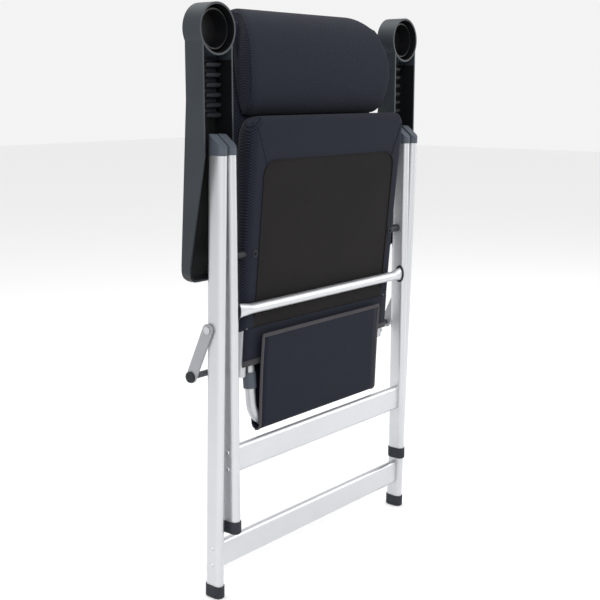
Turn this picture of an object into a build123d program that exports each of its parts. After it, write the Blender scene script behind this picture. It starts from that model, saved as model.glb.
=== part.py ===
"""Folding camp chair, folded flat and stood upright on the feet of its longer leg pair.

Millimetres, +Z up, +X to the chair's left-right, -Y towards the side the seat's underside faces.
Every piece is drawn about the scissor plane (y = 0 near the leg tops) and moved at the end, so that the
origin is at the bottom centre of the whole chair's box.
"""
from build123d import *
import math
import os

# Whole chair
TOTAL_HEIGHT = 1130.0
FRAME_SHIFT = -32.72         # moves the drawing to the bottom centre of the box

# Legs: flat oval tubes, outer pair long, inner pair short
LEG_DEPTH, LEG_WIDTH, LEG_WALL = 38.0, 20.0, 1.6
OUTER_LEG_X, INNER_LEG_X = 312.5, 285.5
LEG_TOP_Z = 860.0
OUTER_FOOT_Y, OUTER_TOP_Y = 26.0, 2.0
OUTER_START_Z, INNER_START_Z = 7.0, 137.0
INNER_LEG_Y = 4.0
FOOT_HEIGHT, FOOT_WALL, FOOT_SOLE = 24.0, 1.9, 6.0
CAP_REAR, CAP_FRONT, CAP_PLUG = 40.0, 12.0, 14.0

# Cross bars between the legs
BAR_HEIGHT, BAR_DEPTH, BAR_WALL = 55.0, 17.0, 1.5
OUTER_BAR_Z, INNER_BAR_Z = 85.0, 277.0
SCREW_PITCH = 34.0
CROSS_TUBE_Y, CROSS_TUBE_Z, CROSS_TUBE_R = -8.0, 568.0, 10.0

# Pivots (y, z)
SCISSOR = (6.0, 672.0)
SEAT_HINGE = (28.0, 440.0)
ARM_PIVOT = (59.0, 656.0)
STAY_TOP = (21.0, 537.0)
STAY_END = (66.0, 440.0)
PIN_R, PIN_CLEARANCE = 4.0, 0.05

# Seat and backrest frames: round tubes
TUBE_R, TUBE_WALL = 11.0, 1.5
SEAT_RAIL_X, BACK_TUBE_X = 230.0, 205.0
SEAT_UP, SEAT_DOWN = 243.0, 12.0
BACK_LEAN = math.degrees(math.atan(0.07))
BACK_UP, BACK_JOINT = 646.0, -20.0
BOW_DROP, BOW_R = 116.0, 10.0

# Armrests: moulded channels with a round cup at the front end
ARM_OUT_X, ARM_IN_X, ARM_WALL = 341.0, 262.0, 4.0
CUP_X, CUP_R, CUP_FRONT_Y, CUP_REAR_Y = 300.0, 46.5, 9.0, 52.0
CUP_LINER_R = 36.0
ARM_LOW_Z, ARM_END_R = 622.0, 24.0
RACK_LOW_Z, RACK_TOOTH, RACK_TEETH = 925.0, 18.0, 6

os.makedirs("parts", exist_ok=True)
SIDES = (("left", -1), ("right", 1))


def save(solid, label):
    """Moves a finished piece to the chair's own frame, labels it and writes it."""
    placed = Pos(0, FRAME_SHIFT, 0) * solid
    placed.label = label
    export_step(placed, f"parts/{label}.step")


def along_x(x, y, z):
    """A plane at a point whose normal is +X, with its own x along Y and its own y along Z."""
    return Plane(origin=(x, y, z), x_dir=(0, 1, 0), z_dir=(1, 0, 0))


def leg_plane(x, y_low, z_low, y_high, z_high):
    """A plane across a leg at its lower end, whose normal runs up the leg."""
    return Plane(origin=(x, y_low, z_low), x_dir=(1, 0, 0), z_dir=(0, y_high - y_low, z_high - z_low))


def oval(depth, width):
    """A flat oval sketch, long along the plane's y."""
    SlotOverall(depth, width, rotation=90)


OUTER_LENGTH = math.hypot(LEG_TOP_Z - OUTER_START_Z, OUTER_TOP_Y - OUTER_FOOT_Y)
INNER_LENGTH = LEG_TOP_Z - INNER_START_Z


def outer_plane(side):
    return leg_plane(side * OUTER_LEG_X, OUTER_FOOT_Y, OUTER_START_Z, OUTER_TOP_Y, LEG_TOP_Z)


def inner_plane(side):
    return leg_plane(side * INNER_LEG_X, INNER_LEG_Y, INNER_START_Z, INNER_LEG_Y, LEG_TOP_Z)


def outer_y(z):
    """Depth of the leaning outer leg's centre line at a height."""
    return OUTER_FOOT_Y + (OUTER_TOP_Y - OUTER_FOOT_Y) * (z - OUTER_START_Z) / (LEG_TOP_Z - OUTER_START_Z)


def make_leg(plane, length, holes):
    """A flat oval tube with round holes, each (x from, x to, y, z, radius), through its walls."""
    with BuildPart() as leg:
        with BuildSketch(plane):
            oval(LEG_DEPTH, LEG_WIDTH)
            with BuildSketch(plane, mode=Mode.PRIVATE) as bore:
                oval(LEG_DEPTH - 2 * LEG_WALL, LEG_WIDTH - 2 * LEG_WALL)
            add(bore.sketch_local, mode=Mode.SUBTRACT)
        extrude(amount=length)
        for x_from, x_to, y, z, radius in holes:
            with BuildSketch(along_x(min(x_from, x_to), y, z)):
                Circle(radius)
            extrude(amount=abs(x_to - x_from), mode=Mode.SUBTRACT)
    return leg.part


def make_foot(plane):
    """A rubber cup over a leg's lower end, closed below and cut level with the floor."""
    with BuildPart() as foot:
        with BuildSketch(plane.offset(-FOOT_SOLE - 2)):
            oval(LEG_DEPTH + 2 * FOOT_WALL, LEG_WIDTH + 2 * FOOT_WALL)
        extrude(amount=FOOT_HEIGHT + 2)
        chamfer(foot.faces().sort_by(Axis.Z)[0].edges(), length=3.5)
        with BuildSketch(plane):
            oval(LEG_DEPTH, LEG_WIDTH)
        extrude(amount=FOOT_HEIGHT, mode=Mode.SUBTRACT)
        floor_z = plane.origin.Z - OUTER_START_Z
        split(bisect_by=Plane.XY.offset(floor_z), keep=Keep.TOP)
    return foot.part


def make_cap(plane, length):
    """A roof shaped end cap, high at the rear and low at the front, with a plug inside the tube."""
    top = plane.offset(length)
    with BuildPart() as cap:
        with BuildSketch(top):
            oval(LEG_DEPTH + 1, LEG_WIDTH + 0.6)
        extrude(amount=CAP_REAR)
        half = LEG_DEPTH / 2 + 0.5
        slope = Plane(origin=top.origin, x_dir=top.y_dir, z_dir=top.x_dir)
        with BuildSketch(slope):
            with BuildLine():
                Polyline((-half - 1, CAP_FRONT), (half - 8, CAP_REAR - 3), (half + 1, CAP_REAR - 2),
                         (half + 1, CAP_REAR + 8), (-half - 1, CAP_REAR + 8), close=True)
            make_face()
        extrude(amount=LEG_WIDTH, both=True, mode=Mode.SUBTRACT)
        with BuildSketch(top):
            oval(LEG_DEPTH - 2 * LEG_WALL - 0.2, LEG_WIDTH - 2 * LEG_WALL - 0.2)
        extrude(amount=-CAP_PLUG)
    return cap.part


def make_bar(x_half, y, z):
    """A flat oval cross bar between two legs, standing on its narrow edge."""
    with BuildPart() as bar:
        with BuildSketch(along_x(-x_half, y, z)):
            SlotOverall(BAR_HEIGHT, BAR_DEPTH, rotation=90)
            SlotOverall(BAR_HEIGHT - 2 * BAR_WALL, BAR_DEPTH - 2 * BAR_WALL, rotation=90, mode=Mode.SUBTRACT)
        extrude(amount=2 * x_half)
    return bar.part


def make_screws(x_face, y_of, z_bar):
    """Dome headed screws, two in each leg, holding a cross bar."""
    with BuildPart() as screws:
        for _, side in SIDES:
            for step in (-0.5, 0.5):
                z = z_bar + step * SCREW_PITCH
                with BuildSketch(along_x(side * x_face, y_of(z), z)):
                    Circle(4.6)
                extrude(amount=side * 1.8, taper=28)
                with BuildSketch(along_x(side * x_face, y_of(z), z)):
                    Circle(2.5)
                extrude(amount=-side * LEG_WALL)
    return screws.part


def make_pins(spans, y, z):
    """Round pins along X, each given as (x from, x to, radius)."""
    with BuildPart() as pins:
        for x_from, x_to, pin_radius in spans:
            with BuildSketch(along_x(min(x_from, x_to), y, z)):
                Circle(pin_radius)
            extrude(amount=abs(x_to - x_from))
    return pins.part


# ---------------------------------------------------------------- legs
RUN = PIN_R + PIN_CLEARANCE
outer_face, outer_inner_face = OUTER_LEG_X + LEG_WIDTH / 2, OUTER_LEG_X - LEG_WIDTH / 2
inner_outer_face, inner_face = INNER_LEG_X + LEG_WIDTH / 2, INNER_LEG_X - LEG_WIDTH / 2
for name, side in SIDES:
    screw_holes = [(side * outer_face, side * (outer_face - 4), outer_y(OUTER_BAR_Z + s * SCREW_PITCH),
                    OUTER_BAR_Z + s * SCREW_PITCH, 2.55) for s in (-0.5, 0.5)]
    stay_hole = (side * outer_face, side * (outer_face - 4), STAY_TOP[0], STAY_TOP[1], RUN)
    scissor_hole = (side * (OUTER_LEG_X - 6), side * outer_inner_face, *SCISSOR, PIN_R)
    leg = make_leg(outer_plane(side), OUTER_LENGTH, screw_holes + [stay_hole, scissor_hole])
    save(leg, f"outer_leg_{name}")
    save(make_foot(outer_plane(side)), f"outer_foot_{name}")
    save(make_cap(outer_plane(side), OUTER_LENGTH), f"outer_top_cap_{name}")

    screw_holes = [(side * inner_outer_face, side * (inner_outer_face - 4), INNER_LEG_Y,
                    INNER_BAR_Z + s * SCREW_PITCH, 2.55) for s in (-0.5, 0.5)]
    scissor_hole = (side * inner_outer_face, side * inner_face, *SCISSOR, RUN)
    leg = make_leg(inner_plane(side), INNER_LENGTH, screw_holes + [scissor_hole])
    save(leg, f"inner_leg_{name}")
    save(make_foot(inner_plane(side)), f"inner_foot_{name}")
    save(make_cap(inner_plane(side), INNER_LENGTH), f"inner_top_cap_{name}")

save(make_bar(outer_inner_face, outer_y(OUTER_BAR_Z), OUTER_BAR_Z), "outer_cross_bar")
save(make_bar(inner_face, INNER_LEG_Y, INNER_BAR_Z), "inner_cross_bar")
save(make_screws(outer_face, outer_y, OUTER_BAR_Z), "outer_bar_screws")
save(make_screws(inner_outer_face, lambda z: INNER_LEG_Y, INNER_BAR_Z), "inner_bar_screws")

# Round tube between the inner legs, its ends pressed tall and narrow, seated in oval collars
with BuildPart() as cross_tube:
    flare, flat = 34.0, inner_face - 3
    for side in (-1, 1):
        with BuildSketch(along_x(side * (flat - flare), CROSS_TUBE_Y, CROSS_TUBE_Z)):
            Circle(CROSS_TUBE_R)
        with BuildSketch(along_x(side * flat, CROSS_TUBE_Y + 3, CROSS_TUBE_Z)):
            Ellipse(7.5, 14.5)
        loft()
    with BuildSketch(along_x(-(flat - flare), CROSS_TUBE_Y, CROSS_TUBE_Z)):
        Circle(CROSS_TUBE_R)
        Circle(CROSS_TUBE_R - TUBE_WALL, mode=Mode.SUBTRACT)
    extrude(amount=2 * (flat - flare))
save(cross_tube.part, "seat_cross_tube")
with BuildPart() as collars:
    for side in (-1, 1):
        with BuildSketch(along_x(side * flat, CROSS_TUBE_Y + 4, CROSS_TUBE_Z)):
            Ellipse(11, 19)
        extrude(amount=side * 3)
save(collars.part, "cross_tube_collars")

# Scissor pins: fixed in the outer legs, running through the inner legs into the seat rails
save(make_pins([(s * (OUTER_LEG_X - 6), s * (SEAT_RAIL_X - 8), PIN_R) for s in (-1, 1)], *SCISSOR), "scissor_pins")

# ---------------------------------------------------------------- seat
SEAT_TILT = math.atan((SEAT_HINGE[0] - SCISSOR[0]) / (SCISSOR[1] - SEAT_HINGE[1]))
SEAT_NORMAL = (0, -math.cos(SEAT_TILT), -math.sin(SEAT_TILT))
seat_plane = Plane(origin=(0, *SCISSOR), x_dir=(1, 0, 0), z_dir=SEAT_NORMAL)
seat_span = math.hypot(SCISSOR[1] - SEAT_HINGE[1], SEAT_HINGE[0] - SCISSOR[0])


def bent_tube(plane, corners, bend, radii):
    """A tube swept along straight runs and bends in a plane; radii are its outer and inner radius."""
    with BuildPart() as tube:
        with BuildLine(plane) as path:
            FilletPolyline(*corners, radius=bend)
        start = path.line @ 0
        with BuildSketch(Plane(origin=start, z_dir=path.line % 0)):
            Circle(radii[0])
            Circle(radii[1], mode=Mode.SUBTRACT)
        sweep(path=path.line)
    return tube.part


rail_low = -seat_span - SEAT_DOWN
seat_corners = [(-SEAT_RAIL_X, rail_low), (-SEAT_RAIL_X, SEAT_UP), (SEAT_RAIL_X, SEAT_UP), (SEAT_RAIL_X, rail_low)]
seat_tube = bent_tube(seat_plane, seat_corners, 55, (TUBE_R, TUBE_R - TUBE_WALL))
with BuildPart() as seat_frame:
    add(seat_tube)
    for side in (-1, 1):
        for y, z in (SCISSOR, SEAT_HINGE):
            with BuildSketch(along_x(side * SEAT_RAIL_X, y, z)):
                Circle(RUN)
            extrude(amount=TUBE_R + 2, both=True, mode=Mode.SUBTRACT)
save(seat_frame.part, "seat_frame")


def seat_y(z):
    return SCISSOR[0] - math.tan(SEAT_TILT) * (z - SCISSOR[1])


SEAT_PAD_LOW, SEAT_PAD_TOP, SEAT_PAD_HALF = 520.0, 926.0, 246.0
with BuildPart() as seat_pad:
    with BuildSketch(along_x(-SEAT_PAD_HALF, 0, 0)):
        with BuildLine():
            Polyline((seat_y(SEAT_PAD_LOW) - 13, SEAT_PAD_LOW), (seat_y(910) - 13, 910), (seat_y(922) - 7, 922),
                     (-4, SEAT_PAD_TOP), (10, 922), (20, 905), (27, 860), (29, 656), (25, 600),
                     (19, SEAT_PAD_LOW), close=True)
        make_face()
    extrude(amount=2 * SEAT_PAD_HALF)
    upright = seat_pad.edges().filter_by(lambda e: abs(abs(e.center().X) - SEAT_PAD_HALF) < 0.1)
    chamfer(upright.filter_by(lambda e: e.center().Z > SEAT_PAD_LOW + 5), length=4)
    for side in (-1, 1):
        with BuildSketch(along_x(side * SEAT_RAIL_X, *SCISSOR)):
            Circle(8.5)
        extrude(amount=side * 30, mode=Mode.SUBTRACT)
        with BuildSketch(along_x(side * SEAT_RAIL_X, *SCISSOR)):
            Circle(4.6)
        extrude(amount=-side * 9, mode=Mode.SUBTRACT)
save(seat_pad.part, "seat_pad")

with BuildPart() as seat_tail:
    with BuildSketch(along_x(-SEAT_PAD_HALF + 4, 0, 0)):
        with BuildLine():
            Polyline((seat_y(SEAT_PAD_LOW) - 13, SEAT_PAD_LOW), (seat_y(SEAT_PAD_LOW) - 11.5, SEAT_PAD_LOW),
                     (seat_y(449) - 13.5, 449), (seat_y(449) - 15, 449), close=True)
        make_face()
    extrude(amount=2 * SEAT_PAD_HALF - 8)
save(seat_tail.part, "seat_rear_hem")

with BuildPart() as spacers:
    for side in (-1, 1):
        x_from, x_to = side * (inner_face - 0.2), side * (SEAT_RAIL_X + 9)
        with BuildSketch(along_x(min(x_from, x_to), *SCISSOR)):
            Circle(8)
            Circle(RUN, mode=Mode.SUBTRACT)
        extrude(amount=abs(x_to - x_from))
        with BuildSketch(along_x(side * SEAT_RAIL_X, *SCISSOR)):
            Circle(20)
        extrude(amount=side * 11.2, mode=Mode.SUBTRACT)
save(spacers.part, "seat_pivot_spacers")

# ---------------------------------------------------------------- backrest
lean = math.radians(BACK_LEAN)
back_plane = Plane(origin=(0, *SEAT_HINGE), x_dir=(1, 0, 0), z_dir=(0, -math.cos(lean), math.sin(lean)))


def back_point(up, out=0.0):
    """The (y, z) of a point so far up the backrest from its hinge and so far out behind its tubes."""
    y = SEAT_HINGE[0] + up * math.sin(lean) + out * math.cos(lean)
    z = SEAT_HINGE[1] + up * math.cos(lean) - out * math.sin(lean)
    return (y, z)


back_corners = [(-BACK_TUBE_X, BACK_JOINT), (-BACK_TUBE_X, BACK_UP), (BACK_TUBE_X, BACK_UP),
                (BACK_TUBE_X, BACK_JOINT)]
back_tube = bent_tube(back_plane, back_corners, 70, (TUBE_R, TUBE_R - TUBE_WALL))
with BuildPart() as back_frame:
    add(back_tube)
    for side in (-1, 1):
        with BuildSketch(along_x(side * BACK_TUBE_X, *SEAT_HINGE)):
            Circle(PIN_R)
        extrude(amount=TUBE_R + 2, both=True, mode=Mode.SUBTRACT)
save(back_frame.part, "back_frame")

bow_corners = [(-BACK_TUBE_X, BACK_JOINT), (-BACK_TUBE_X, -BOW_DROP), (BACK_TUBE_X, -BOW_DROP),
               (BACK_TUBE_X, BACK_JOINT)]
save(bent_tube(back_plane, bow_corners, 48, (BOW_R, BOW_R - TUBE_WALL)), "back_lower_bow")

for name, side in SIDES:
    socket = Plane(origin=back_plane.from_local_coords(Vector(side * BACK_TUBE_X, BACK_JOINT - 20, 0)),
                   x_dir=(1, 0, 0), z_dir=back_plane.y_dir)
    with BuildPart() as connector:
        with BuildSketch(socket):
            Circle(13.2)
        extrude(amount=32)
        with BuildSketch(socket):
            Circle(BOW_R)
        extrude(amount=20, mode=Mode.SUBTRACT)
        with BuildSketch(socket.offset(20)):
            Circle(TUBE_R)
        extrude(amount=12, mode=Mode.SUBTRACT)
    save(connector.part, f"back_connector_{name}")

BACK_PAD_HALF = 226.0
with BuildPart() as back_pad:
    with BuildSketch(along_x(-BACK_PAD_HALF, 0, 0)):
        with BuildLine():
            Polyline(back_point(120, -8), back_point(240, -8), back_point(400, -24), back_point(640, -24),
                     back_point(656, -14), back_point(660, 2), back_point(655, 12), back_point(120, 14),
                     close=True)
        make_face()
    extrude(amount=2 * BACK_PAD_HALF)
save(back_pad.part, "back_pad")

SLING_HALF, SLING_THICK = 190.0, 1.6
bow_low = back_point(-BOW_DROP, 0)
with BuildPart() as sling:
    with BuildSketch(along_x(-SLING_HALF, 0, 0)):
        with BuildLine() as sling_line:
            Polyline(back_point(118, 13), (bow_low[0] + BOW_R + 1, bow_low[1]))
            ThreePointArc((bow_low[0] + BOW_R + 1, bow_low[1]), (bow_low[0], bow_low[1] - BOW_R - 1),
                          (bow_low[0] - BOW_R - 1, bow_low[1]))
            Polyline((bow_low[0] - BOW_R - 1, bow_low[1]), (-2, 506))
        trace(line_width=SLING_THICK)
    extrude(amount=2 * SLING_HALF)
save(sling.part, "back_sling_flap")

hinge_spans = [(s * (BACK_TUBE_X - TUBE_R + 1), s * (SEAT_RAIL_X + TUBE_R + 1), PIN_R) for s in (-1, 1)]
hinge_spans += [(s * (SEAT_RAIL_X + TUBE_R + 0.5), s * (SEAT_RAIL_X + TUBE_R + 3), 7.0) for s in (-1, 1)]
save(make_pins(hinge_spans, *SEAT_HINGE), "seat_hinge_pins")

# Bracket that carries the armrest behind the backrest tube, and its pivot pin
bracket_x = BACK_TUBE_X + TUBE_R + 0.5
for name, side in SIDES:
    near, far = side * bracket_x, side * (bracket_x + 4)
    with BuildPart() as bracket:
        with BuildSketch(along_x(min(near, far), 0, 0)):
            with BuildLine():
                Polyline((38, 640), (60, 644), (70, 652), (70, 660), (60, 668), (38, 676), close=True)
            make_face()
            with Locations((ARM_PIVOT[0], ARM_PIVOT[1])):
                Circle(PIN_R, mode=Mode.SUBTRACT)
        extrude(amount=4)
    save(bracket.part, f"armrest_bracket_{name}")
arm_spans = [(s * bracket_x, s * 270, PIN_R) for s in (-1, 1)]
arm_spans += [(s * (ARM_IN_X + ARM_WALL + 0.3), s * 271, 7.0) for s in (-1, 1)]
save(make_pins(arm_spans, *ARM_PIVOT), "armrest_pivot_pins")

# ---------------------------------------------------------------- headrest
HEADREST_HALF = 226.0
with BuildPart() as headrest:
    with BuildSketch(along_x(-HEADREST_HALF, 0, 0)):
        with BuildLine():
            Spline((31, 925), (4, 955), (-6, 1005), (2, 1062), (28, 1108), (60, 1127), (88, TOTAL_HEIGHT))
            Polyline((88, TOTAL_HEIGHT), (95, 1122), back_point(668, 16), back_point(664, -27),
                     back_point(490, -27), (31, 925))
        make_face()
    extrude(amount=2 * HEADREST_HALF)
save(headrest.part, "headrest_pillow")

BAND_HALF = 30.0
with BuildPart() as band:
    with BuildSketch(along_x(-BAND_HALF, 0, 0)):
        with BuildLine():
            Polyline(back_point(666, 15), back_point(666, 17), back_point(540, 17), back_point(540, 15), close=True)
        make_face()
    extrude(amount=2 * BAND_HALF)
save(band.part, "headrest_band")

# ---------------------------------------------------------------- armrests
ARM_OUTLINE = [(9, 1072), (9, 862), (50, 655), (52, 632), (57, 622), (67, 622), (72, 632), (72, 656),
               (52, 958), (52, 1072)]
ARM_CAVITY = [(-20, 1060), (-20, 626), (64, 626), (68, 634), (68, 656), (48, 958), (48, 1060)]


def arm_block(side, outline, inset, end_radius):
    """A side outline across the armrest's width, less an inset, with its lower corners rounded from the front."""
    width = ARM_OUT_X - ARM_IN_X - 2 * inset
    middle = side * (ARM_OUT_X + ARM_IN_X) / 2
    floor_z = ARM_LOW_Z + inset
    with BuildPart() as block:
        with BuildSketch(along_x(middle - width / 2, 0, 0)):
            with BuildLine():
                Polyline(*outline, close=True)
            make_face()
        extrude(amount=width)
        with BuildSketch(Plane(origin=(middle, 90, floor_z + 250), x_dir=(1, 0, 0), z_dir=(0, -1, 0))):
            RectangleRounded(width, 500, end_radius)
        extrude(amount=120, mode=Mode.INTERSECT)
    return block.part


for name, side in SIDES:
    with BuildPart() as hollow:
        add(arm_block(side, ARM_CAVITY, ARM_WALL, ARM_END_R - ARM_WALL))
    with BuildPart() as armrest:
        add(arm_block(side, ARM_OUTLINE, 0, ARM_END_R))
        add(hollow.part, mode=Mode.SUBTRACT)
        cup_plane = Plane(origin=(side * CUP_X, CUP_FRONT_Y, TOTAL_HEIGHT - CUP_R), x_dir=(1, 0, 0), z_dir=(0, 1, 0))
        with BuildSketch(cup_plane):
            Circle(CUP_R)
        extrude(amount=CUP_REAR_Y - CUP_FRONT_Y)
        with BuildSketch(cup_plane):
            Circle(CUP_R - ARM_WALL)
        extrude(amount=CUP_REAR_Y - CUP_FRONT_Y - ARM_WALL, mode=Mode.SUBTRACT)
        with BuildSketch(cup_plane.offset(10)):
            Circle(CUP_LINER_R)
            Circle(CUP_LINER_R - 2.5, mode=Mode.SUBTRACT)
        extrude(amount=CUP_REAR_Y - CUP_FRONT_Y - ARM_WALL - 10)
        with BuildSketch(along_x(side * (ARM_IN_X + ARM_WALL / 2), *ARM_PIVOT)):
            Circle(RUN)
        extrude(amount=ARM_WALL, both=True, mode=Mode.SUBTRACT)
    save(armrest.part, f"armrest_{name}")

    rack_low = -312.0 if side < 0 else 274.0
    teeth = [(48, 958), (50, RACK_LOW_Z)]
    for tooth in range(RACK_TEETH):
        z = RACK_LOW_Z + tooth * RACK_TOOTH
        teeth += [(42, z), (30, z + 3), (27, z + 9), (31, z + 9), (40, z + 12)]
    teeth += [(42, RACK_LOW_Z + RACK_TEETH * RACK_TOOTH), (48, RACK_LOW_Z + RACK_TEETH * RACK_TOOTH)]
    with BuildPart() as rack:
        with BuildSketch(along_x(rack_low, 0, 0)):
            with BuildLine():
                Polyline(*teeth, close=True)
            make_face()
        extrude(amount=38)
    save(rack.part, f"armrest_rack_{name}")

# ---------------------------------------------------------------- folding stays
stay_angle = math.degrees(math.atan2(STAY_END[0] - STAY_TOP[0], STAY_TOP[1] - STAY_END[1]))
stay_length = math.hypot(STAY_END[0] - STAY_TOP[0], STAY_TOP[1] - STAY_END[1])
for name, side in SIDES:
    near, far = side * (outer_face + 1.5), side * (outer_face + 5.5)
    with BuildPart() as stay:
        with BuildSketch(along_x(min(near, far), (STAY_TOP[0] + STAY_END[0]) / 2, (STAY_TOP[1] + STAY_END[1]) / 2)):
            SlotCenterToCenter(stay_length, 24, rotation=90 + stay_angle)
            ends = ((STAY_TOP[0] - STAY_END[0]) / 2, (STAY_TOP[1] - STAY_END[1]) / 2)
            with Locations(ends, (-ends[0], -ends[1])):
                Circle(RUN, mode=Mode.SUBTRACT)
        extrude(amount=4)
    save(stay.part, f"stay_link_{name}")
    with BuildPart() as bush:
        with BuildSketch(along_x(side * (outer_face + 5.5), *STAY_END)):
            Circle(11)
        extrude(amount=side * 4, taper=8)
    save(bush.part, f"stay_end_cap_{name}")
stay_spans = [(s * (outer_face + 7.5), s * (outer_face - LEG_WALL), PIN_R) for s in (-1, 1)]
stay_spans += [(s * (outer_face + 5.6), s * (outer_face + 8), 7.5) for s in (-1, 1)]
save(make_pins(stay_spans, *STAY_TOP), "stay_top_screws")
# Arms from the backrest hinge to the lower ends of the stays
for name, side in SIDES:
    inner, outer = side * (BACK_TUBE_X + TUBE_R + 0.2), side * (BACK_TUBE_X + TUBE_R + 2.7)
    with BuildPart() as crank:
        with BuildSketch(along_x(min(inner, outer), 0, 0)):
            with BuildLine():
                Polyline((20, 454), (20, 433), (66, 433), (74, 440), (66, 450), close=True)
            make_face()
            with Locations(SEAT_HINGE):
                Circle(PIN_R, mode=Mode.SUBTRACT)
        extrude(amount=2.5)
        with BuildSketch(along_x(min(outer, side * (outer_face + 1)), *STAY_END)):
            Circle(6)
        extrude(amount=abs(side * (outer_face + 1) - outer))
    save(crank.part, f"stay_crank_{name}")
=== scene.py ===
"""Folding camp chair, folded flat and stood on its longer legs: looks, light and camera."""
import math

import bpy
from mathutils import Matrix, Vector


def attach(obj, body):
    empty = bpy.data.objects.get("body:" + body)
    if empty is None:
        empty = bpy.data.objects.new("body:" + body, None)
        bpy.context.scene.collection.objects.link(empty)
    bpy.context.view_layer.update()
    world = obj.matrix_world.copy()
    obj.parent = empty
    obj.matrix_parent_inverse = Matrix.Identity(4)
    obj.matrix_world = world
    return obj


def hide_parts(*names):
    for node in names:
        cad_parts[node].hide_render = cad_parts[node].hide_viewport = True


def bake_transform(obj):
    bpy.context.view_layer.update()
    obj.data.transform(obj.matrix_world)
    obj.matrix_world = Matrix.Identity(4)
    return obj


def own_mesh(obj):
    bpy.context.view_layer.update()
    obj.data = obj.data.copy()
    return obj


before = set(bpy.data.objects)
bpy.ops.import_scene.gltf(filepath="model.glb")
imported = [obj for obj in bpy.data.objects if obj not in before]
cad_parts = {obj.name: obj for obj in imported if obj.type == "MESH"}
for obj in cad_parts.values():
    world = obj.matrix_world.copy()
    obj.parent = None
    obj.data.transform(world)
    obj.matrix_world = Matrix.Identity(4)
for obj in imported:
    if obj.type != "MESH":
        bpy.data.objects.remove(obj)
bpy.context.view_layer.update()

SHIFT = -0.03272          # from the scissor plane to the chair's own frame, along Y
LEAN = math.atan(0.07)    # the backrest's lean from the vertical
HINGE = (0.028, 0.440)    # seat and backrest hinge, y and z before the shift
SCISSOR = (0.006, 0.672)  # seat tubes at the scissor pins, y and z before the shift
SEAT_SLOPE = 0.0948       # how far the seat tubes run towards -Y for each metre up
SIDES = (("left", -1), ("right", 1))


def back_point(up, out):
    """A point so far up the backrest from its hinge and so far behind its tubes, as (y, z)."""
    y = HINGE[0] + up * math.sin(LEAN) + out * math.cos(LEAN)
    z = HINGE[1] + up * math.cos(LEAN) - out * math.sin(LEAN)
    return (y, z)


# ---------------------------------------------------------------- materials
CLOTH_ROUGHNESS = 0.7     # a rougher surface reflects as cloth does
CLOTH_SPECULAR, PLASTIC_SPECULAR = 0.12, 0.3


def new_material(name, color, roughness, metallic=0.0, sheen=0.0):
    mat = bpy.data.materials.new(name)
    mat.use_nodes = True
    shader = mat.node_tree.nodes["Principled BSDF"]
    shader.inputs["Base Color"].default_value = (*color, 1)
    shader.inputs["Roughness"].default_value = roughness
    shader.inputs["Metallic"].default_value = metallic
    shader.inputs["Sheen Weight"].default_value = sheen
    if not metallic:
        level = CLOTH_SPECULAR if roughness > CLOTH_ROUGHNESS else PLASTIC_SPECULAR
        shader.inputs["Specular IOR Level"].default_value = level
    return mat, mat.node_tree, shader


def coordinates(tree, scale, source="Object"):
    """Object or UV coordinates, stretched by a scale along each axis."""
    place = tree.nodes.new("ShaderNodeTexCoord")
    mapping = tree.nodes.new("ShaderNodeMapping")
    mapping.inputs["Scale"].default_value = scale
    tree.links.new(place.outputs[source], mapping.inputs["Vector"])
    return mapping.outputs["Vector"]


def noise(tree, scale, detail=3.0):
    node = tree.nodes.new("ShaderNodeTexNoise")
    node.inputs["Scale"].default_value = 1.0
    node.inputs["Detail"].default_value = detail
    tree.links.new(coordinates(tree, scale), node.inputs["Vector"])
    return node.outputs["Fac"]


def ramp(tree, value, stops, target):
    """Colours a value by (position, colour) stops."""
    node = tree.nodes.new("ShaderNodeValToRGB")
    for k, (position, color) in enumerate(stops):
        element = node.color_ramp.elements[k] if k < 2 else node.color_ramp.elements.new(position)
        element.position = position
        element.color = (*color, 1)
    tree.links.new(value, node.inputs["Fac"])
    tree.links.new(node.outputs["Color"], target)


def bump(tree, shader, value, strength, distance):
    node = tree.nodes.new("ShaderNodeBump")
    node.inputs["Strength"].default_value = strength
    node.inputs["Distance"].default_value = distance
    tree.links.new(value, node.inputs["Height"])
    tree.links.new(node.outputs["Normal"], shader.inputs["Normal"])


def grained(name, color, roughness, grain, depth, metallic=0.0, spread=0.12, sheen=0.0):
    """A surface with a fine grain in its bump and a slow, slight change of colour."""
    mat, tree, shader = new_material(name, color, roughness, metallic, sheen)
    dark = tuple(c * (1 - spread) for c in color)
    light = tuple(min(1, c * (1 + spread)) for c in color)
    ramp(tree, noise(tree, (9, 9, 9)), [(0.3, dark), (0.7, light)], shader.inputs["Base Color"])
    bump(tree, shader, noise(tree, grain), 0.5, depth)
    return mat


def mesh_cloth(name, ground, dot, pitch, sheen=0.03):
    """Spacer mesh: rows of small raised dots on a dark ground."""
    mat, tree, shader = new_material(name, ground, 0.85, 0.0, sheen)
    cells = tree.nodes.new("ShaderNodeTexVoronoi")
    cells.voronoi_dimensions = "2D"
    cells.inputs["Scale"].default_value = 1.0
    cells.inputs["Randomness"].default_value = 0.0
    turned = coordinates(tree, (1 / pitch, 1 / pitch, 1), "UV")
    turned.node.inputs["Rotation"].default_value = (0, 0, math.radians(45))
    tree.links.new(turned, cells.inputs["Vector"])
    ramp(tree, cells.outputs["Distance"], [(0.30, dot), (0.48, ground)], shader.inputs["Base Color"])
    bump(tree, shader, cells.outputs["Distance"], 0.6, 0.0008)
    return mat


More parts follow.
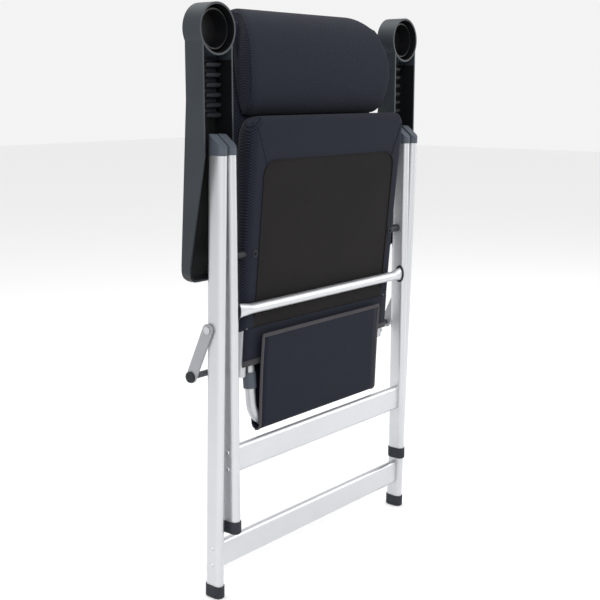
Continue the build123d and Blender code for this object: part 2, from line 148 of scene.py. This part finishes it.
# Metals
ANODISED = grained("anodised_aluminium", (0.56, 0.57, 0.59), 0.36, (900, 900, 14), 0.00006, 0.8, 0.03)
TUBE = grained("frame_tube_metal", (0.46, 0.47, 0.49), 0.4, (700, 700, 700), 0.00005, 0.7, 0.05)
STAY = grained("stay_metal", (0.32, 0.33, 0.35), 0.5, (900, 900, 900), 0.0001, 0.5)
BRACKET = grained("bracket_metal", (0.05, 0.055, 0.065), 0.5, (800, 800, 800), 0.0001, 0.3)
STEEL = grained("screw_steel", (0.55, 0.56, 0.58), 0.3, (600, 600, 600), 0.00005, 0.9)

# The armrest's inner faces, darkened with painted shade; each y is before the shift
CAVITY_X = (0.2655, 0.3375)               # just past the channel's side faces
CAVITY_Z = (0.6265, 1.030)                # from its lower end to just below the cup
CAVITY_FLOOR = 0.0490                     # just past its floor, as y
FLOOR_BEND, FLOOR_SLOPE = 0.958, 0.0662   # below this height the floor slopes back
CUP_X, CUP_Z = 0.300, 1.0835              # the cup's axis
CUP_BORE, CUP_FLOOR = 0.0431, 0.0485      # just past the cup's round wall, and its floor as y


def armrest_plastic():
    """Slate plastic, with painted shade that makes it nearly black on the inner faces of the channel and the
    cup.
    """
    # inner is the painted shade colour for the recessed faces, not the plastic's own colour
    outer, inner = (0.022, 0.028, 0.034), (0.0035, 0.0038, 0.0045)
    mat = grained("slate_plastic", outer, 0.45, (900, 900, 900), 0.00022)
    tree = mat.node_tree
    shader = tree.nodes["Principled BSDF"]
    place = tree.nodes.new("ShaderNodeTexCoord")
    split = tree.nodes.new("ShaderNodeSeparateXYZ")
    tree.links.new(place.outputs["Object"], split.inputs[0])

    def math_node(operation, *values):
        node = tree.nodes.new("ShaderNodeMath")
        node.operation = operation
        for k, value in enumerate(values):
            if isinstance(value, (int, float)):
                node.inputs[k].default_value = value
            else:
                tree.links.new(value, node.inputs[k])
        return node.outputs[0]

    across = math_node("ABSOLUTE", split.outputs[0])
    depth = math_node("SUBTRACT", split.outputs[1], SHIFT)
    height = split.outputs[2]
    beyond_inner = math_node("GREATER_THAN", across, CAVITY_X[0])
    within_outer = math_node("LESS_THAN", across, CAVITY_X[1])
    walls = math_node("MULTIPLY", beyond_inner, within_outer)
    under_bend = math_node("MAXIMUM", math_node("SUBTRACT", FLOOR_BEND, height), 0.0)
    slope = math_node("MULTIPLY", under_bend, FLOOR_SLOPE)
    before_floor = math_node("LESS_THAN", depth, math_node("ADD", slope, CAVITY_FLOOR))
    above_end = math_node("GREATER_THAN", height, CAVITY_Z[0])
    below_cup = math_node("LESS_THAN", height, CAVITY_Z[1])
    channel = math_node("MULTIPLY", math_node("MULTIPLY", walls, before_floor), above_end)
    in_channel = math_node("MULTIPLY", channel, below_cup)
    reach = math_node("POWER", math_node("SUBTRACT", across, CUP_X), 2.0)
    rise = math_node("POWER", math_node("SUBTRACT", height, CUP_Z), 2.0)
    radius = math_node("SQRT", math_node("ADD", reach, rise))
    in_bore = math_node("LESS_THAN", radius, CUP_BORE)
    in_cup = math_node("MULTIPLY", in_bore, math_node("LESS_THAN", depth, CUP_FLOOR))
    # The channel and cup mask says where painted shade darkens the plastic
    mix = tree.nodes.new("ShaderNodeMix")
    mix.data_type = "RGBA"
    tree.links.new(math_node("MAXIMUM", in_channel, in_cup), mix.inputs["Factor"])
    base = shader.inputs["Base Color"].links[0].from_socket
    # A mix node set to RGBA has its two colours at sockets 6 and 7, and gives its colour at socket 2
    tree.links.new(base, mix.inputs[6])
    mix.inputs[7].default_value = (*inner, 1)
    tree.links.new(mix.outputs[2], shader.inputs["Base Color"])
    return mat


# Plastics
SLATE = armrest_plastic()
CAP = grained("cap_plastic", (0.055, 0.065, 0.082), 0.5, (800, 800, 800), 0.0002)
DARK = grained("dark_plastic", (0.008, 0.009, 0.012), 0.45, (900, 900, 900), 0.0002)

# Cloth
NAVY = mesh_cloth("navy_spacer_mesh", (0.0030, 0.0038, 0.0075), (0.016, 0.019, 0.031), 0.0040)
BLACK = grained("underside_cloth", (0.0075, 0.0065, 0.0065), 0.8, (1400, 1400, 1400), 0.0003, 0, 0.15, 0.02)
TAPE = grained("binding_tape", (0.045, 0.042, 0.045), 0.85, (1500, 200, 1500), 0.0003, 0, 0.1, 0.05)


def ribbed_rubber():
    """Foot rubber with fine level ribs."""
    mat, tree, shader = new_material("foot_rubber", (0.012, 0.015, 0.021), 0.6)
    ribs = tree.nodes.new("ShaderNodeTexWave")
    ribs.bands_direction = "Z"
    ribs.inputs["Scale"].default_value = 1.0
    tree.links.new(coordinates(tree, (80, 80, 80)), ribs.inputs["Vector"])
    bump(tree, shader, ribs.outputs["Fac"], 0.5, 0.0006)
    dark, light = (0.010, 0.013, 0.018), (0.016, 0.020, 0.027)
    ramp(tree, noise(tree, (40, 40, 40)), [(0.3, dark), (0.7, light)], shader.inputs["Base Color"])
    return mat


RUBBER = ribbed_rubber()

# The first prefix that fits a node's name gives its material; the soft nodes are covered further down
BY_PREFIX = [
    ("armrest_rack", DARK), ("armrest_bracket", BRACKET), ("armrest_pivot", STEEL), ("armrest", SLATE),
    ("stay_link", STAY), ("stay_end", DARK), ("stay_crank", BRACKET), ("stay_top", STEEL),
    ("outer_foot", RUBBER), ("inner_foot", RUBBER), ("outer_top", CAP), ("inner_top", CAP),
    ("outer_bar", STEEL), ("inner_bar", STEEL), ("outer", ANODISED), ("inner", ANODISED),
    ("seat_cross", ANODISED), ("cross_tube", DARK), ("scissor", STEEL), ("seat_pivot", DARK),
    ("seat_frame", TUBE), ("seat_hinge", STEEL), ("back_connector", CAP), ("back_frame", TUBE),
    ("back_lower", TUBE),
]
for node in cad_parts:
    material = next((look for prefix, look in BY_PREFIX if node.startswith(prefix)), None)
    if material:
        for material_slot in bpy.data.objects[node].material_slots:
            material_slot.material = material


# ---------------------------------------------------------------- mesh helpers
def make_piece(name, verts, faces, materials, body, subdivision=0, weave=None):
    """A smooth mesh piece, moved from the scissor plane to the chair's frame, on its body if it has one."""
    mesh = bpy.data.meshes.new(name)
    mesh.from_pydata([(x, y + SHIFT, z) for x, y, z in verts], [], faces)
    mesh.validate()
    piece = bpy.data.objects.new(name, mesh)
    bpy.context.scene.collection.objects.link(piece)
    for material in materials:
        mesh.materials.append(material)
    for polygon in mesh.polygons:
        polygon.use_smooth = True
    layer = mesh.uv_layers.new(name="weave")
    for loop in mesh.loops:
        x, _, z = verts[loop.vertex_index]
        layer.data[loop.index].uv = weave[loop.vertex_index] if weave else (x, z)
    if subdivision:
        modifier = piece.modifiers.new("round", "SUBSURF")
        modifier.levels = modifier.render_levels = subdivision
    if body:
        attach(piece, body)
    return piece


def cord_line(name, points, radius, material, body, flat=1.0):
    """A thin round seam or piping along points, as a mesh tube."""
    verts, faces, sides = [], [], 8
    points = [Vector(p) for p in points]
    for k, point in enumerate(points):
        ahead = (points[min(k + 1, len(points) - 1)] - points[max(k - 1, 0)]).normalized()
        side = ahead.cross(Vector((0, 1, 0)))
        side = side.normalized() if side.length > 0.05 else Vector((1, 0, 0))
        up = side.cross(ahead).normalized()
        for s in range(sides):
            angle = 2 * math.pi * s / sides
            across = side * radius * math.cos(angle)
            verts.append(tuple(point + across + up * radius * flat * math.sin(angle)))
    for k in range(len(points) - 1):
        here, there = k * sides, (k + 1) * sides
        for s in range(sides):
            beside = (s + 1) % sides
            faces.append((here + s, here + beside, there + beside, there + s))
    faces.append(tuple(range(sides))[::-1])
    faces.append(tuple((len(points) - 1) * sides + s for s in range(sides)))
    return make_piece(name, verts, faces, [material], body)


def between(rows, z):
    """The y values (front, tube, rear) of rows (z, front, tube, rear) at a height."""
    for low, high in zip(rows, rows[1:]):
        if z <= high[0]:
            t = max(0.0, (z - low[0]) / (high[0] - low[0]))
            return [a + (b - a) * t for a, b in zip(low[1:], high[1:])]
    return rows[-1][1:]


EDGE_RADIUS = 0.0135      # how round a pad's borders are
CROWN = 0.0012            # how far a pad's front swells between its sides
SIDE_PULL = 0.0015        # how far a pad's sides are drawn in at half its height


def pad_surface(rows, half, corner, x, z):
    """Front and rear y of a crowned pad at a point: round at the borders, fullest in the middle."""
    low, top = rows[0][0], rows[-1][0]
    front, tube, rear = between(rows, z)
    edge = max(0.0, min(half_at(half, corner, low, top, z) - abs(x), z - low, top - z))
    round_off = math.sqrt(max(0.0, 1 - (1 - min(edge / EDGE_RADIUS, 1)) ** 2))
    crown = CROWN * (1 - (x / half) ** 2)
    return tube + (front - crown - tube) * round_off, tube + (rear - tube) * round_off


def half_at(half, corner, low, top, z):
    """Half width of a pad whose upper corners are round and whose sides pull in a little."""
    pull = SIDE_PULL * math.sin(math.pi * (z - low) / (top - low))
    drop = max(0.0, corner - (top - z))
    return half - pull - (corner - math.sqrt(max(0.0, corner ** 2 - drop ** 2)))


def make_pad(name, node, rows, half, corner, materials, body, pick=None):
    """A stuffed pad between its front and rear rows; pick says which front faces take the second material."""
    columns, lines = 72, 84
    low, top = rows[0][0], rows[-1][0]
    verts, faces = [], []
    for side in (0, 1):
        for j in range(lines + 1):
            z = low + (top - low) * (0.5 - 0.5 * math.cos(math.pi * j / lines))
            width = half_at(half, corner, low, top, z)
            for i in range(columns + 1):
                x = width * math.sin(math.pi * (i / columns - 0.5))
                verts.append((x, pad_surface(rows, half, corner, x, z)[side], z))
    stride, layer = columns + 1, (columns + 1) * (lines + 1)
    for side in (0, 1):
        for j in range(lines):
            for i in range(columns):
                a = side * layer + j * stride + i
                face = (a, a + 1, a + 1 + stride, a + stride)
                faces.append(face if side == 0 else face[::-1])
    piece = make_piece(name, verts, faces, materials, body)
    if pick:
        for polygon in piece.data.polygons:
            center = polygon.center
            if polygon.normal.y < -0.3 and pick(center.x, center.z):
                polygon.material_index = 1
    weld = piece.modifiers.new("weld", "WELD")
    weld.merge_threshold = 0.00005
    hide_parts(node)
    return piece


# ---------------------------------------------------------------- seat
def seat_y(z):
    """y of the seat tubes' centres at a height, before the shift."""
    return SCISSOR[0] - SEAT_SLOPE * (z - SCISSOR[1])


SEAT_HALF, SEAT_CORNER = 0.246, 0.034
SEAT_FRONT = 0.013        # the cushion's underside, so far before the seat tubes' centres
SEAT_REAR = ((0.520, 0.019), (0.600, 0.025), (0.656, 0.029), (0.860, 0.027), (0.929, 0.014))
SEAT_ROWS = [(z, seat_y(z) - SEAT_FRONT, min(seat_y(z), rear - 0.002), rear) for z, rear in SEAT_REAR]
PANEL_HALF, PANEL_LOW, PANEL_TOP, PANEL_CORNER = 0.213, 0.522, 0.846, 0.030


def in_panel(x, z):
    """Whether a point lies in the black panel, whose upper corners are round."""
    over = max(0.0, z - (PANEL_TOP - PANEL_CORNER))
    side = PANEL_HALF - PANEL_CORNER + math.sqrt(max(0, PANEL_CORNER ** 2 - over ** 2))
    return z < PANEL_TOP and abs(x) < side


make_pad("seat_cushion", "seat_pad", SEAT_ROWS, SEAT_HALF, SEAT_CORNER, [NAVY, BLACK], "seat",
         in_panel)


def on_seat(x, z, lift=0.0008):
    """A point just before the cushion's underside."""
    return (x, pad_surface(SEAT_ROWS, SEAT_HALF, SEAT_CORNER, x, z)[0] - lift, z)


EDGE_STEP = 0.03
edge_points = [(-PANEL_HALF, PANEL_LOW + EDGE_STEP * k) for k in range(10)]
for k in range(13):
    a = math.pi / 2 * k / 12
    x = -PANEL_HALF + PANEL_CORNER * (1 - math.cos(a))
    edge_points.append((x, PANEL_TOP - PANEL_CORNER * (1 - math.sin(a))))
edge_points += [(-x, z) for x, z in reversed(edge_points)]
panel_edge = [on_seat(x, z) for x, z in edge_points]
cord_line("underside_panel_edge", panel_edge, 0.0013, BLACK, "seat")

# A seam from each of the panel's upper corners to the cushion's own, and an eyelet over each scissor pin
SEAM_START, SEAM_RUN = (0.206, 0.840), (0.034, 0.078)
EYELET_X, EYELET_RADIUS = 0.2245, 0.0055
full_turn = [2 * math.pi * k / 20 for k in range(21)]
for tag, sign in SIDES:
    seam = [(sign * (SEAM_START[0] + SEAM_RUN[0] * t / 10), SEAM_START[1] + SEAM_RUN[1] * t / 10)
            for t in range(11)]
    seam = [on_seat(x, z, 0.0002) for x, z in seam]
    cord_line("corner_seam_" + tag, seam, 0.0010, NAVY, "seat")
    ring = [(sign * EYELET_X + EYELET_RADIUS * math.cos(a), SCISSOR[1] + EYELET_RADIUS * math.sin(a))
            for a in full_turn]
    ring = [on_seat(x, z) for x, z in ring]
    cord_line("eyelet_" + tag, ring, 0.0016, DARK, "seat")


# ---------------------------------------------------------------- thin sheets
def path_length(path):
    return sum(math.dist(a, b) for a, b in zip(path, path[1:]))


def ribbon(name, node, path, half_of, material, body, thick=0.0011):
    """A thin closed sheet along a path of (y, z), with a half width that may change along it."""
    verts, faces, weave = [], [], []
    across, count = 24, len(path)
    for side in (0, 1):
        for k, (y, z) in enumerate(path):
            ya, za = path[max(k - 1, 0)]
            yb, zb = path[min(k + 1, count - 1)]
            length = math.hypot(yb - ya, zb - za)
            ny, nz = (zb - za) / length, -(yb - ya) / length
            offset = thick / 2 if side else -thick / 2
            for i in range(across + 1):
                x = half_of(k / (count - 1)) * (2 * i / across - 1)
                verts.append((x, y + ny * offset, z + nz * offset))
                weave.append((x, path_length(path[:k + 1])))
    stride, layer = across + 1, (across + 1) * count
    for side in (0, 1):
        for k in range(count - 1):
            for i in range(across):
                a = side * layer + k * stride + i
                face = (a, a + 1, a + 1 + stride, a + stride)
                faces.append(face[::-1] if side else face)
    rim = list(range(stride)) + [k * stride + across for k in range(1, count)]
    rim += [(count - 1) * stride + i for i in range(across - 1, -1, -1)]
    rim += [k * stride for k in range(count - 2, 0, -1)]
    for a, b in zip(rim, rim[1:] + rim[:1]):
        faces.append((b, a, a + layer, b + layer))
    piece = make_piece(name, verts, faces, [material], body, weave=weave)
    if node:
        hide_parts(node)
    return piece


def spaced(points, step=0.006):
    """The same path with points no further apart than a step."""
    out = [points[0]]
    for a, b in zip(points, points[1:]):
        count = max(1, math.ceil(math.dist(a, b) / step))
        for k in range(1, count + 1):
            out.append((a[0] + (b[0] - a[0]) * k / count, a[1] + (b[1] - a[1]) * k / count))
    return out


# The hem under the seat's rear end, by how far it hangs before the seat tubes' centres and its height
HEM_ENDS = ((0.0115, 0.524), (0.0135, 0.449))
hem_path = spaced([(seat_y(z) - ahead, z) for ahead, z in HEM_ENDS])
hem = ribbon("seat_hem", "seat_rear_hem", hem_path, lambda t: 0.240, NAVY, None)
tape_path = [(y - 0.0008, z) for y, z in hem_path[-3:]]
hem_tape = ribbon("seat_hem_tape", None, tape_path, lambda t: 0.2405, TAPE, None, 0.0022)
for piece in (hem, hem_tape):
    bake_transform(piece)

# The flap that runs down behind the backrest, round its lower bow and up in front of it
BOW = back_point(-0.116, 0.0)
BOW_OUT = 0.0112          # the flap's distance from the bow's centre
half_turn = [-math.pi * k / 10 for k in range(11)]
flap_path = [back_point(0.118, 0.0125)]
flap_path += [(BOW[0] + BOW_OUT * math.cos(a), BOW[1] + BOW_OUT * math.sin(a)) for a in half_turn]
flap_path += [(0.0065, 0.380), (0.0035, 0.440), (-0.002, 0.507)]
flap_path = spaced(flap_path)


def flap_half(t):
    """The flap's half width at a share t of its length: it narrows a little."""
    return 0.197 - 0.006 * t


flap = ribbon("back_flap", "back_sling_flap", flap_path, flap_half, NAVY, "backrest", 0.0016)

# Its binding: up one side of the front from the lowest point, across the top and down the other side
BINDING_HALF, BINDING_LIFT = 0.195, 0.0005
lowest = min(flap_path, key=lambda point: point[1])
front = [(y - BINDING_LIFT, z) for y, z in flap_path[flap_path.index(lowest):]]
tape_points = [(-BINDING_HALF, y, z) for y, z in front]
tape_points += [(-0.191 + 0.382 * k / 20, *front[-1]) for k in range(1, 20)]
tape_points += [(BINDING_HALF, y, z) for y, z in reversed(front)]
flap_tape = cord_line("flap_binding", tape_points, 0.0042, TAPE, "backrest", 0.42)
for piece in (flap, flap_tape):
    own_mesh(piece)

# ---------------------------------------------------------------- backrest
# The cushion's section: how far up the backrest, and its front and rear from the back tubes' centres
BACK_SECTION = ((0.120, -0.008, 0.014), (0.240, -0.008, 0.014), (0.400, -0.024, 0.0145),
                (0.640, -0.024, 0.0145), (0.661, -0.018, 0.0135))
back_rows = []
for up, ahead, behind in BACK_SECTION:
    y, z = back_point(up, 0)
    back_rows.append((z, y + ahead, y, y + behind))
make_pad("back_cushion", "back_pad", back_rows, 0.2205, 0.075, [NAVY], "backrest")

# ---------------------------------------------------------------- headrest
# The pillow's section, from its lower front edge up over the top and down behind
SECTION = [(0.031, 0.925), (0.013, 0.936), (0.002, 0.957), (-0.005, 0.985), (-0.0065, 1.015), (-0.002, 1.048),
           (0.010, 1.080), (0.028, 1.106), (0.052, 1.123), (0.078, 1.1295), (0.092, 1.127), (0.0965, 1.118),
           back_point(0.668, 0.014), back_point(0.666, 0.004), back_point(0.664, -0.016),
           back_point(0.655, -0.0265), back_point(0.60, -0.027), back_point(0.52, -0.027),
           back_point(0.494, -0.0275)]
CENTRE = (0.022, 1.025)   # of the section, as y and z
WIDTHS = [(0.924, 0.216), (1.010, 0.229), (1.060, 0.224), (1.104, 0.212), (1.130, 0.186)]
PILLOW_HALF = 0.226       # half length along x
END_ROUND = 0.020         # the stretch over which each end closes in
STATIONS = 40
VISIBLE = 12              # the section's points on the front and the top


def pillow_half(z):
    """The pillow's half length at a height."""
    for (za, wa), (zb, wb) in zip(WIDTHS, WIDTHS[1:]):
        if z <= zb:
            return wa + (wb - wa) * max(0.0, (z - za) / (zb - za))
    return WIDTHS[-1][1]


def station(k):
    """How far across the pillow a station is, from -1 to 1, closer together at the ends."""
    return math.sin(math.pi * (k / STATIONS - 0.5))


def pillow_ring(u):
    """The section at a place across the pillow, smaller near the ends but for its side along the backrest."""
    inside = (1 - abs(u)) * PILLOW_HALF
    scale = 0.86 + 0.14 * math.sqrt(1 - (1 - min(inside / END_ROUND, 1)) ** 2)
    ring = []
    for y, z in SECTION:
        rear = y > 0.04 and z < 1.11
        grow = 1.0 if rear else scale
        depth = CENTRE[0] + (y - CENTRE[0]) * grow
        ring.append((u * pillow_half(z), depth, CENTRE[1] + (z - CENTRE[1]) * grow))
    return ring


def make_pillow():
    """The pillow as rings of its section, closed at each end by a fan."""
    verts, faces, weave = [], [], []
    count = len(SECTION)
    for k in range(STATIONS + 1):
        u = station(k)
        verts += pillow_ring(u)
        weave += [(u * PILLOW_HALF, path_length(SECTION[:s + 1])) for s in range(count)]
    for k in range(STATIONS):
        for s in range(count):
            a, b = k * count + s, k * count + (s + 1) % count
            faces.append((a, a + count, b + count, b))
    for end, sign in ((0, -1), (STATIONS, 1)):
        ring = [end * count + s for s in range(count)]
        verts.append((sign * PILLOW_HALF, CENTRE[0] + 0.008, CENTRE[1]))
        weave.append((sign * PILLOW_HALF, 0.1))
        centre = len(verts) - 1
        for a, b in zip(ring, ring[1:] + ring[:1]):
            faces.append((centre, a, b) if sign < 0 else (centre, b, a))
    return make_piece("headrest_cushion", verts, faces, [NAVY], "headrest", 2, weave)


pillow = make_pillow()
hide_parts("headrest_pillow")

# A seam near each end, drawn in a little so that it lies in the cushion's surface
for tag, end in (("left", 2), ("right", STATIONS - 2)):
    seam = [(x, CENTRE[0] + (y - CENTRE[0]) * 0.99, CENTRE[1] + (z - CENTRE[1]) * 0.985)
            for x, y, z in pillow_ring(station(end))[:VISIBLE]]
    cord_line("headrest_seam_" + tag, seam, 0.0014, NAVY, "headrest")

# The elastic band behind the backrest
band_path = spaced([back_point(0.666, 0.016), back_point(0.540, 0.016)])
band = ribbon("headrest_strap", "headrest_band", band_path, lambda t: 0.030, TAPE, "headrest",
              0.0018)

# ---------------------------------------------------------------- floor, light and camera
bpy.ops.mesh.primitive_plane_add(size=30, location=(0, 0, -0.0005))
floor = bpy.context.object
floor.name = "studio_floor"
floor.data.materials.append(new_material("studio_white", (0.93, 0.93, 0.93), 0.9)[0])
bpy.context.scene.view_settings.view_transform = "Standard"
world = bpy.data.worlds.new("studio_world")
bpy.context.scene.world = world
world.use_nodes = True
background = world.node_tree.nodes["Background"]
background.inputs["Color"].default_value = (1, 1, 1, 1)
background.inputs["Strength"].default_value = 0.9
LIGHT_TARGET = Vector((0, 0, 0.6))


def soft_light(name, location, size, power):
    """An area light aimed at the chair's middle."""
    data = bpy.data.lights.new(name, "AREA")
    data.size = size
    data.energy = power
    lamp = bpy.data.objects.new(name, data)
    lamp.location = location
    lamp.rotation_euler = (LIGHT_TARGET - Vector(location)).to_track_quat("-Z", "Y").to_euler()
    bpy.context.scene.collection.objects.link(lamp)


soft_light("key_light", (-2.4, -2.6, 2.6), 1.6, 70)
soft_light("fill_light", (2.8, -2.0, 1.8), 2.2, 35)
soft_light("top_light", (0.0, 0.6, 3.2), 2.0, 35)

camera_data = bpy.data.cameras.new("camera")
camera_data.lens = 65.4
camera_data.sensor_width = 36.0
camera = bpy.data.objects.new("camera", camera_data)
camera.location = (-1.7597, -1.3559 + SHIFT, 0.9758)
heading, pitch = math.radians(51.1), math.radians(10.9)
level = math.cos(pitch)
forward = Vector((math.sin(heading) * level, math.cos(heading) * level, -math.sin(pitch)))
camera.rotation_euler = forward.to_track_quat("-Z", "Y").to_euler()
bpy.context.scene.collection.objects.link(camera)
bpy.context.scene.camera = camera
